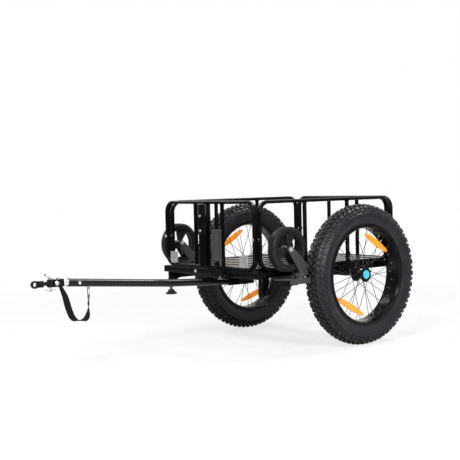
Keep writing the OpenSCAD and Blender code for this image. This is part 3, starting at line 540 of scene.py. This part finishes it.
def addStrap():
    s = strap
    route = [at(0, y, z) for y, z in s["route"]]
    last = len(route) - 1
    bpy.ops.curve.primitive_bezier_curve_add()
    line = bpy.context.object
    spline = line.data.splines[0]
    spline.bezier_points.add(last - 1)
    for k, (knot, place) in enumerate(zip(spline.bezier_points, route)):
        knot.co = place
        knot.handle_left_type = knot.handle_right_type = "AUTO"
        run = (route[min(k + 1, last)] - route[max(k - 1, 0)]).normalized()
        twisted = min(1, max(0, k - s["twistFrom"]) / (s["twistTo"] - s["twistFrom"]))
        turn = (s["face"] + s["twist"]) * twisted - s["face"] * min(1, k / s["turned"])
        knot.tilt = -math.radians(turn) * run.z
    line.location = (0, 0, 0)
    line.data.resolution_u = 6
    line.data.twist_mode = "MINIMUM"
    outline = bpy.data.curves.new("strapOutline", "CURVE")
    ring = outline.splines.new("POLY")
    points = strapSection()
    ring.points.add(len(points) - 1)
    for knot, (x, z) in zip(ring.points, points):
        knot.co = (x * mm, z * mm, 0, 1)
    ring.use_cyclic_u = True
    guide = bpy.data.objects.new("strapOutline", outline)
    bpy.context.scene.collection.objects.link(guide)
    line.data.bevel_mode = "OBJECT"
    line.data.bevel_object = guide
    focus(line)
    bpy.ops.object.convert(target="MESH")
    ribbon = bpy.context.object
    bpy.data.objects.remove(guide)
    return ribbon, points


def strapMap(ribbon, points):        # along and across the webbing, in millimetres
    count = len(points)
    rings = len(ribbon.data.vertices) // count
    centres = [sum((ribbon.data.vertices[k * count + j].co for j in range(count)), Vector()) / count
               for k in range(rings)]
    along = [0.0]
    for here, there in zip(centres, centres[1:]):
        along.append(along[-1] + (there - here).length / mm)
    weave = ribbon.data.uv_layers.new(name="weave")
    for loop in ribbon.data.loops:
        ringOf, place = divmod(loop.vertex_index, count)
        weave.data[loop.index].uv = (points[place][0], along[ringOf])
    edit(ribbon)
    bpy.ops.mesh.fill_holes(sides=0)
    bpy.ops.mesh.normals_make_consistent(inside=False)
    closeEdit()
    return centres, along[-1] * mm


ribbon, outline = addStrap()
strapLine, strapLength = strapMap(ribbon, outline)
ribbon = finishPiece(ribbon, "safetyStrap", "chassis", "webbing", ["safety_strap"], 50)
print("strap laid, length", round(strapLength, 3))


# Chassis tubes and deck
chassis = {"tube": 28, "wall": 2, "corner": 3, "mid": 319, "railX": 281, "rail": (-486.5, 254),
           "crossings": ((308, -500.5), (267, -304), (267, 228))}
deck = {"wide": 50, "high": 12, "wall": 1.5, "corner": 2.5, "half": 279, "first": -452.5, "step": 84.375,
        "count": 9, "mid": 339}


def chassisTube(start, end):
    c = chassis
    return squareTube(at(*start, c["mid"]), at(*end, c["mid"]), c["tube"], c["tube"], c["wall"], c["corner"])


def makeChassis():
    x = chassis["railX"]
    front, rear = chassis["rail"]
    rails = [chassisTube((side * x, front), (side * x, rear)) for side in (-1, 1)]
    finishPiece(joined(*rails), "railTubes", "chassis", "framePaint", ["side_rails"])
    crossings = [chassisTube((-half, y), (half, y)) for half, y in chassis["crossings"]]
    finishPiece(joined(*crossings), "crossTubes", "chassis", "framePaint", ["crossbars"])
    softPiece("axle_tube", "axleBeam", "chassis", "framePaint", 1.0)
    softPiece("rail_end_caps", "endCaps", "chassis", "capPlastic", 1.2)


def makeDeck():
    d = deck
    slat = squareTube(at(-d["half"], d["first"], d["mid"]), at(d["half"], d["first"], d["mid"]),
                      d["wide"], d["high"], d["wall"], d["corner"])
    slats = repeat(slat, shifts(*[(0, k * d["step"] * mm, 0) for k in range(d["count"])]))
    finishPiece(slats, "deckSlats", "chassis", "slatPaint", ["deck_slats"])


makeChassis()
makeDeck()
print("chassis and deck built")

# Guard panels: the bent loops keep their shape; weld beads and bolts are added
panel = {"foot": 333, "top": 614, "tube": 14, "bar": 17, "endX": 90, "endY": (-503, 273), "sideX": 293,
         "sideY": (-236, 6), "bead": 2.0, "proud": 0.4, "sunk": 0.2}
panelBolt = {"x": 294, "z": 460, "across": 10, "high": 2.6, "ends": ((-514.5, -1), (284.5, 1)), "gripLong": 23,
             "nutBore": 3, "nutR": 6, "nutHigh": 5.5}
leverBolt = {"place": (-84, -514.5, 319), "across": 10.5, "high": 3}


def makeBeads():
    p = panel
    clearSelection()
    bpy.ops.mesh.primitive_torus_add(major_radius=(p["bar"] / 2 + p["proud"]) * mm, minor_radius=p["bead"] * mm,
                                     major_segments=36, minor_segments=8, location=(0, 0, 0))
    bead = bpy.context.object
    low, high = p["foot"] + p["tube"] - p["sunk"], p["top"] - p["tube"] + p["sunk"]
    spots = [(side * p["endX"], y) for side in (-1, 1) for y in p["endY"]]
    spots += [(side * p["sideX"], y) for side in (-1, 1) for y in p["sideY"]]
    beads = repeat(bead, shifts(*[at(x, y, z) for x, y in spots for z in (low, high)]))
    finishPiece(beads, "weldBeads", "chassis", "framePaint")


def makePanelBolts():
    b = panelBolt
    bore, r, high = b["nutBore"], b["nutR"], b["nutHigh"]
    nut = [(0, bore), (0, r), (high, r), (high, bore), (0, bore)]
    parts = []
    for side in (-1, 1):
        for y, toward in b["ends"]:
            inner = y - toward * b["gripLong"]
            parts.append(hexBolt(at(side * b["x"], y, b["z"]), endY * toward, b["across"], b["high"]))
            parts.append(lathe(nut, at(side * b["x"], inner, b["z"]), "y" if toward < 0 else "-y", 32))
    parts.append(hexBolt(at(*leverBolt["place"]), -endY, leverBolt["across"], leverBolt["high"]))
    finishPiece(joined(*parts), "panelBolts", "chassis", "zinc", ["panel_bolts"])


reflector = {"x": 235, "wide": 46, "high": 46, "face": -518, "back": -511, "foot": 350, "rim": 3, "sunk": 1.2,
             "lensBehind": 0.8, "tab": (23, 12, 3.4), "tabZ": 348.8}


def makeFrontReflectors():
    q = reflector
    middle = at(0, (q["face"] + q["back"]) / 2, q["foot"] + q["high"] / 2)
    lensFrom = at(0, q["face"] + q["lensBehind"], 0).y
    case = block(middle, (q["wide"], q["back"] - q["face"], q["high"]))
    edit(case)
    pickFaces(case, lambda centre, normal: normal.y < -0.9)
    bpy.ops.mesh.inset(thickness=q["rim"] * mm)
    bpy.ops.transform.translate(value=(0, q["sunk"] * mm, 0))
    closeEdit()
    softEdges(case, 1.2, 3)
    case.data.materials.append(finishes["clearPlastic"])
    secondFinish(case, "whiteLens", lambda centre, normal: normal.y < -0.95 and centre.y > lensFrom)
    tab = block(at(0, q["back"], q["tabZ"]), q["tab"])
    softEdges(tab, 0.8)
    tab.data.materials.append(finishes["clearPlastic"])
    pair = repeat(joined(case, tab), shifts((-q["x"] * mm, 0, 0), (q["x"] * mm, 0, 0)))
    finishPiece(pair, "frontReflectors", "chassis", None, ["front_reflectors"])


dress("framePaint", "front_panel", "rear_panel", "left_panel", "right_panel")
makeBeads()
makePanelBolts()
makeFrontReflectors()
print("guard panels dressed")

# Storage tube with its collar, and the lever with the foam grip
post = {"y": -527, "collar": 52.6, "boltZ": (492, 552), "boltTurn": 11, "across": 8.5, "high": 2.2}
grip = {"x": 92, "y": -536, "low": 370, "long": 126, "r": 20.5, "bore": 9.6, "cuff": 7, "ribs": 10}


def makePost():
    p = post
    dress("tubePaint", "storage_tube")
    softPiece("tube_collar", "postCollar", "chassis", "tubePaint", 0.8, angle=50)
    toward = Matrix.Rotation(math.radians(p["boltTurn"]), 3, "Z") @ -endY
    heads = [hexBolt(at(0, p["y"], z) + toward * p["collar"] / 2 * mm, toward, p["across"], p["high"])
             for z in p["boltZ"]]
    finishPiece(joined(*heads), "collarBolts", "chassis", "zinc", ["collar_bolts"])


def gripProfile():                   # two smooth cuffs with shallow grooves between them
    r, top, cuff, ribs = grip["r"], grip["long"], grip["cuff"], grip["ribs"]
    profile = [(0, grip["bore"]), (0, r - 1.6), (0.6, r - 0.6), (2, r), (5, r), (6.2, r - 0.5), (cuff, r - 1.2)]
    for k in range(1, ribs):
        z = cuff + (top - 2 * cuff) * k / ribs
        profile += [(z - 0.9, r - 1.1), (z, r - 1.35), (z + 0.9, r - 1.1)]
    return profile + [(top - cuff, r - 1.2), (top - 6.2, r - 0.5), (top - 5, r), (top - 2, r), (top - 0.5, r - 0.8),
                      (top, r - 2.4), (top, 0)]


def makeLever():
    softPiece("lever_bracket", "leverClevis", "chassis", "framePaint", 0.8)
    softPiece("lever_tube", "leverArm", "lever", "tubePaint", 0.8)
    foam = lathe(gripProfile(), at(grip["x"], grip["y"], grip["low"]), "z", 72)
    foam = finishPiece(foam, "foamGrip", "lever", "foam", ["foam_grip"])


makePost()
makeLever()
print("post and lever built")

# Main wheels: fat tyre with blocks, box rim, laced spokes, hub with its button.
# A row of blocks is its angle round the section, its shift in the sector, and a block's width, length and height
tyre = {"major": 244, "wallR": 47, "crownR": 42.2, "sectors": 35, "root": 1.1, "edge": 1.1, "taper": (0.84, 0.86, 1),
        "rows": [(0, 0, 11, 15, 8), (0, 0.5, 11, 15, 8), (20, 0.25, 12, 14, 8), (20, 0.75, 10, 16, 8),
                 (41, 0, 16, 21, 8.6), (40, 0.5, 12, 12, 8), (62, 0.5, 11, 19, 5), (61, 0, 8, 12, 4)]}


def tyreProfile():
    t = tyre
    bead = [(38.2, 204), (38.2, 209.8), (39.2, 211.3), (39.8, 213.2), (40.6, 214.1), (40.9, 215.8), (40.5, 217.4),
            (40.6, 218.6), (42.7, 224), (44.9, 231), (46.3, 238)]
    wall = [(t["wallR"] * math.cos(math.radians(a)), t["major"] + t["crownR"] * math.sin(math.radians(a)))
            for a in range(0, 91, 10)]
    wall[2:2] = [(46.9, 255), (47.3, 256), (46.6, 257)]      # the raised line on the wall
    half = bead + wall
    inner = [(33, 204), (33, 211), (37, 220), (41.5, 232), (42, 246), (39, 263), (32, 274), (18, 281.5), (0, 283.5)]
    full = half + [(-x, r) for x, r in half[-2::-1]]
    return full + [(-x, r) for x, r in inner[:-1]] + [(x, r) for x, r in inner[::-1]] + [half[0]]


def treadBlock(angle, shift, wide, long, high):
    t = tyre
    a = math.radians(angle)
    x, r = t["wallR"] * math.sin(a), t["major"] + t["crownR"] * math.cos(a)
    tilt = math.atan2(math.sin(a) / t["wallR"], math.cos(a) / t["crownR"])
    thing = block(Vector((0, 0, (high / 2 - t["root"]) * mm)), (wide, long, high))
    edit(thing)
    pickFaces(thing, lambda centre, normal: normal.z < -0.9)
    bpy.ops.mesh.delete(type="FACE")
    pickFaces(thing, lambda centre, normal: normal.z > 0.9)
    bpy.ops.transform.resize(value=t["taper"])
    closeEdit()
    softEdges(thing, t["edge"])
    place = Matrix.Translation((x * mm, 0, (r - 0.1) * mm)) @ Matrix.Rotation(tilt, 4, "Y")
    thing.data.transform(Matrix.Rotation(math.tau / t["sectors"] * shift, 4, "X") @ place)
    return thing


def makeTyres():
    t = tyre
    hubPoint = at(wheel["x"], 0, wheel["z"])
    carcass = lathe(tyreProfile(), hubPoint, "x", 208)
    sector = joined(*[treadBlock(angle * side, *rest) for angle, *rest in t["rows"]
                      for side in ((1, -1) if angle else (1,))])
    turns = [Matrix.Rotation(math.tau * k / t["sectors"], 4, "X") for k in range(t["sectors"])]
    left = joined(carcass, repeat(sector, [Matrix.Translation(hubPoint) @ turn for turn in turns]))
    right = twin(left, Matrix.Translation((-2 * wheel["x"] * mm, 0, 0)))
    for side, thing in (("left", left), ("right", right)):
        finishPiece(thing, "fatTyre" + side.title(), "wheel_" + side, "tyre", ["tyre_" + side], 32)


hub = {"shell": [(-33, 8.3), (-33, 13.5), (-31.6, 15), (-30.5, 20), (-29, 27), (-28.7, 30.2), (-27.9, 31),
                 (-26.1, 31), (-25.3, 30.2), (-25, 26), (-22, 20), (-16, 17.6), (16, 17.6), (22, 20),
                 (25, 26), (25.3, 30.2), (26.1, 31), (27.9, 31), (28.7, 30.2), (29, 27.5), (29.2, 24),
                 (30.2, 24), (31, 23.2), (31, 18.6), (22, 18.4), (22, 8.3), (-33, 8.3)],
       "button": [(4, 0), (4, 4), (26, 4), (26.2, 17.4), (30.6, 18), (32.2, 17.5), (32.9, 16.2), (33, 14),
                  (32.4, 12.5), (32.3, 0)]}


def makeHubs():
    for side, sign in (("left", 1), ("right", -1)):
        name, body, axis = side.title(), "wheel_" + side, "x" if sign > 0 else "-x"
        spot = at(sign * wheel["x"], 0, wheel["z"])
        finishPiece(lathe(hub["shell"], spot, axis, 72), "hubShell" + name, body, "castPaint", ["hub_" + side])
        finishPiece(lathe(hub["button"], spot, axis, 64), "releaseButton" + name, "button_" + side, "cyan",
                    ["hub_button_" + side])
        dress("rim", "rim_" + side)
        dress("spoke", "spokes_" + side)
        softPiece("spoke_reflectors_" + side, "spokeReflectors" + name, body, "amber", 1.2, 3)
    dress("zinc", "stub_axles")


makeTyres()
makeHubs()
print("main wheels built")

# Casters. A bar of the tread is its place across, its width, its height and whether it is half a step on
caster = {"x": 361, "y": -397, "z": 420, "half": 18, "treads": 72, "barR": 87.2, "barLong": 4.6,
          "bars": ((0, 10, 2.9, 0), (11.2, 8, 2.6, 1), (-11.2, 8, 2.6, 1)), "armShadeInside": 346.5,
          "boltHalf": 23.5, "boltAcross": 15, "boltHigh": 4, "shaft": (24, 6)}
spoke = {"count": 3, "turn": -13, "from": 14, "flare": 60.5, "to": 67, "thick": 16, "wide": 18, "spread": 3,
         "close": 0.333, "border": 3.2, "dish": 3}
lockKnob = {"x": 305, "y": -486, "z": 204, "lobes": 9, "lobeAt": 20, "stem": (20, 92), "stemR": 5}


def makeCasterTyre():
    c = caster
    hubPoint = at(c["x"], c["y"], c["z"])
    h = c["half"]
    side = [(h - 8, 87.6), (h - 5, 86.6), (h - 2.2, 84), (h - 0.6, 81.5), (h, 79), (h - 0.4, 75), (h - 2, 71.2)]
    other = [(-x, r) for x, r in side[::-1]]
    tread = lathe(other + side + other[:1], hubPoint, "x", 144)
    bars = []
    for x, wide, high, shift in c["bars"]:
        bar = block(Vector((x * mm, 0, c["barR"] * mm)), (wide, c["barLong"], high))
        bar.data.transform(Matrix.Rotation(math.tau / c["treads"] / 2 * shift, 4, "X"))
        bar.data.transform(Matrix.Translation(hubPoint))
        bars.append(bar)
    sector = joined(*bars)
    edit(sector)
    steps = c["treads"] - 1
    bpy.ops.mesh.spin(steps=steps, dupli=True, angle=math.tau * steps / c["treads"], center=hubPoint, axis=sideX)
    closeEdit()
    return joined(tread, sector)


def casterSpoke():                   # a tapered arm with a dished face on both sides
    s = spoke
    arm = block(Vector((0, 0, (s["from"] + s["flare"]) / 2 * mm)), (s["thick"], s["wide"], s["flare"] - s["from"]))
    edit(arm)
    pickFaces(arm, lambda centre, normal: normal.z > 0.9)
    bpy.ops.transform.resize(value=(1, s["spread"], 1), center_override=(0, 0, s["flare"] * mm))
    bpy.ops.mesh.extrude_region_move(TRANSFORM_OT_translate={"value": (0, 0, (s["to"] - s["flare"]) * mm)})
    bpy.ops.transform.resize(value=(1, s["close"], 1), center_override=(0, 0, s["to"] * mm))
    pickFaces(arm, lambda centre, normal: abs(normal.x) > 0.8)
    bpy.ops.mesh.inset(thickness=s["border"] * mm)
    bpy.ops.mesh.extrude_region_shrink_fatten(TRANSFORM_OT_shrink_fatten={"value": -s["dish"] * mm})
    closeEdit()
    return softEdges(arm, 0.8)


def makeCasterWheel():
    hubPoint = at(caster["x"], caster["y"], caster["z"])
    rim = lathe([(-15, 62.5), (-15, 70), (-13.5, 71), (13.5, 71), (15, 70), (15, 62.5), (13.6, 61.8), (11, 64),
                 (4, 65.5), (-4, 65.5), (-11, 64), (-13.6, 61.8), (-15, 62.5)], hubPoint, "x", 120)
    core = lathe([(-19.6, 6.1), (-19.6, 12), (-18.6, 13.4), (-14, 14.5), (-11.5, 17), (11.5, 17), (14, 14.5),
                  (18.6, 13.4), (19.6, 12), (19.6, 6.1), (-19.6, 6.1)], hubPoint, "x", 64)
    turns = [math.radians(360 / spoke["count"] * k + spoke["turn"]) for k in range(spoke["count"])]
    arms = repeat(casterSpoke(), [Matrix.Translation(hubPoint) @ Matrix.Rotation(turn, 4, "X") for turn in turns])
    return joined(rim, core, arms)


def makeKnob():
    k = lockKnob
    core = lathe([(0, 0), (0, 18), (1, 20), (3, 21.5), (6.5, 21.5), (8.6, 20), (11, 17.6), (15, 14.8), (19, 13.2),
                  (21, 12.8), (21, 0)], Vector(), "z", 48)
    lobe = lathe([(0.6, 0), (0.6, 3.6), (1.8, 5), (7, 5), (8.6, 3.6), (8.6, 0)], Vector((k["lobeAt"] * mm, 0, 0)),
                 "z", 24)
    lobes = repeat(lobe, [Matrix.Rotation(math.tau * turn / k["lobes"], 4, "Z") for turn in range(k["lobes"])])
    low, high = k["stem"]
    stem = lathe([(low, 0), (low, k["stemR"]), (high, k["stemR"]), (high, 0)], Vector(), "z", 32)
    return joined(core, lobes, stem)


def makeCasterBolt(sign):
    c = caster
    spot = (sign * c["x"], c["y"], c["z"])
    half, r = c["shaft"]
    heads = [hexBolt(at(spot[0] + k * c["boltHalf"], *spot[1:]), sideX * k, c["boltAcross"], c["boltHigh"])
             for k in (-1, 1)]
    return joined(*heads, lathe([(-half, 0), (-half, r), (half, r), (half, 0)], at(*spot), "x", 48))


def makeCasters():
    tyreLeft, wheelLeft = makeCasterTyre(), makeCasterWheel()
    knobBase = makeKnob()
    for side, sign in (("left", 1), ("right", -1)):
        name, fork = side.title(), "fork_" + side
        move = Matrix.Diagonal((sign, 1, 1, 1))
        knobPlace = Matrix.Translation(at(sign * lockKnob["x"], lockKnob["y"], lockKnob["z"]))
        finishPiece(twin(tyreLeft, move), "casterTyre" + name, "caster_" + side, "casterRubber",
                    ["caster_tyre_" + side])
        finishPiece(twin(wheelLeft, move), "casterWheel" + name, "caster_" + side, "plastic",
                    ["caster_wheel_" + side])
        softPiece("caster_fork_" + side, "casterFork" + name, fork, "armPaint", 0.9)
        arm = softPiece("caster_arm_" + side, "flipArm" + name, "arm_" + side, "armPaint", 1.0)
        # painted shade: the inner part of the flip arm takes the darker frame paint because it lies in shade
        secondFinish(arm, "framePaint", lambda centre, normal: abs(centre.x) < caster["armShadeInside"] * mm)
        finishPiece(makeCasterBolt(sign), "casterBolt" + name, fork, "zinc", ["caster_bolt_" + side])
        finishPiece(twin(knobBase, knobPlace), "lockKnob" + name, "knob_" + side, "plastic", ["lock_knob_" + side])
    for thing in (tyreLeft, wheelLeft, knobBase):
        bpy.data.objects.remove(thing)
    softPiece("caster_hangers", "hangerPlates", "chassis", "framePaint", 0.9)


makeCasters()
print("casters built")

# Drawbar with its bracket, coupling and strap hardware
bracket = {"half": 28, "across": 11, "high": 4, "boltY": (-330, -400), "lowZ": 294, "belowTop": 6}
coupling = {"z": 330.243, "half": 13, "boltY": -1225, "across": 14, "high": 3.8, "nutY": -1214, "nutUp": 14,
            "nutAcross": 11, "nutHigh": 4.8, "tabY": -1253.5}


def makeDrawbarParts():
    b = bracket
    softPiece("drawbar_bracket", "drawbarBracket", "chassis", "framePaint", 1.0)
    levels = (b["lowZ"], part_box("drawbar_bolts")[1].z / mm - b["belowTop"])
    heads = [hexBolt(at(sign * b["half"], y, z), sideX * sign, b["across"], b["high"])
             for y, z in zip(b["boltY"], levels) for sign in (-1, 1)]
    finishPiece(joined(*heads), "bracketBolts", "chassis", "zinc", ["drawbar_bolts"])
    dress("barPaint", "drawbar")
    dress("chrome", "hitch_tube")


def makeCoupling():
    c = coupling
    tabFrom = at(0, c["tabY"], 0).y
    softPiece("coupling_body", "couplingBody", "chassis", "castPaint", 1.6, 3)
    softPiece("coupling_knuckle", "couplingKnuckle", "knuckle", "castPaint", 1.0)
    softPiece("coupling_eye", "couplingEye", "eye", "castPaint", 1.8, 3)
    heads = [hexBolt(at(sign * c["half"], c["boltY"], c["z"]), sideX * sign, c["across"], c["high"])
             for sign in (-1, 1)]
    heads.append(hexBolt(at(0, c["nutY"], c["z"] + c["nutUp"]), upZ, c["nutAcross"], c["nutHigh"]))
    finishPiece(joined(*heads), "couplingBolts", "chassis", "zinc", ["coupling_bolts"])
    pin = softPiece("lock_pin", "lockPin", "pin", "zinc", 0.7)
    secondFinish(pin, "castPaint", lambda centre, normal: centre.y < tabFrom)
    softPiece("snap_button", "snapButton", "snap", "chrome", 0.6, 3)
    dress("zinc", "pin_clip", "strap_ring", "hook_gate")
    dress("blackSteel", "snap_hook")
    softPiece("strap_tab", "strapTab", "chassis", "orangeTab", 0.4)


makeDrawbarParts()
makeCoupling()
print("drawbar and coupling built")

# Studio: pale floor, soft lamps, white surround
# A lamp has its place, its aim, its width and its power
studio = {"ambient": 0.08, "floorSize": 60, "fade": (1.3, 3.2), "glow": 0.75, "lit": 0.5, "shown": 0.88,
          "lamps": [("keyLamp", (1.9, -3.1, 3.3), (0.1, 0, 0.3), 1.4, 150),
                    ("backLamp", (0.35, 2.1, 3.4), (0, -0.1, 0.3), 1.3, 70),
                    ("leftLamp", (-2.8, -0.2, 2.6), (0, 0, 0.3), 1.2, 40),
                    ("sideLamp", (3.8, -0.6, 1.75), (0.4, 0, 0.4), 1.9, 110)]}


def lightStudio():
    sky = Recipe("studioSky", bpy.data.worlds)
    seen, glossy, through = sky.rays("Camera", "Glossy", "Transmission")
    strength = (seen + glossy + through) * (1 - studio["ambient"]) + studio["ambient"]
    glow = sky.node("Background", None, {"Color": (1, 1, 1, 1), "Strength": strength})
    sky.node("OutputWorld", None, {"Surface": glow})
    bpy.context.scene.world = sky.material
    for name, place, aim, wide, power in studio["lamps"]:
        bpy.ops.object.light_add(type="AREA", location=place)
        lamp = bpy.context.object
        lamp.name = name
        lamp.data.shape = "DISK"
        lamp.data.size = wide
        lamp.data.energy = power
        lamp.rotation_mode = "QUATERNION"
        lamp.rotation_quaternion = (Vector(aim) - Vector(place)).to_track_quat("-Z", "Y")


def layFloor():
    s = studio
    clearSelection()
    bpy.ops.mesh.primitive_plane_add(size=s["floorSize"], location=(0, 0, 0))
    floor = bpy.context.object
    floor.name = "studioFloor"
    r = Recipe("floorWhite")
    x, y = r.axes()[:2]
    far = (x * x + y * y).root().rise(*s["fade"])
    seen, glossy = r.rays("Camera", "Glossy")
    pale = r.between(seen + glossy, (s["lit"],) * 3, (s["shown"],) * 3)
    matt = r.node("BsdfPrincipled", None, {"Base Color": pale, "Roughness": 0.9, "Specular IOR Level": 0.1})
    glow = r.node("Emission", None, {"Color": (1, 1, 1, 1), "Strength": 1.0})
    mixed = r.node("MixShader", None, {0: (far * (1 - s["glow"]) + s["glow"]) * seen, 1: matt, 2: glow})
    r.node("OutputMaterial", None, {"Surface": mixed})
    floor.data.materials.append(r.material)


lightStudio()
layFloor()
bpy.context.scene.view_settings.view_transform = "Standard"
print("studio lit")

clearSelection()
bpy.context.view_layer.update()
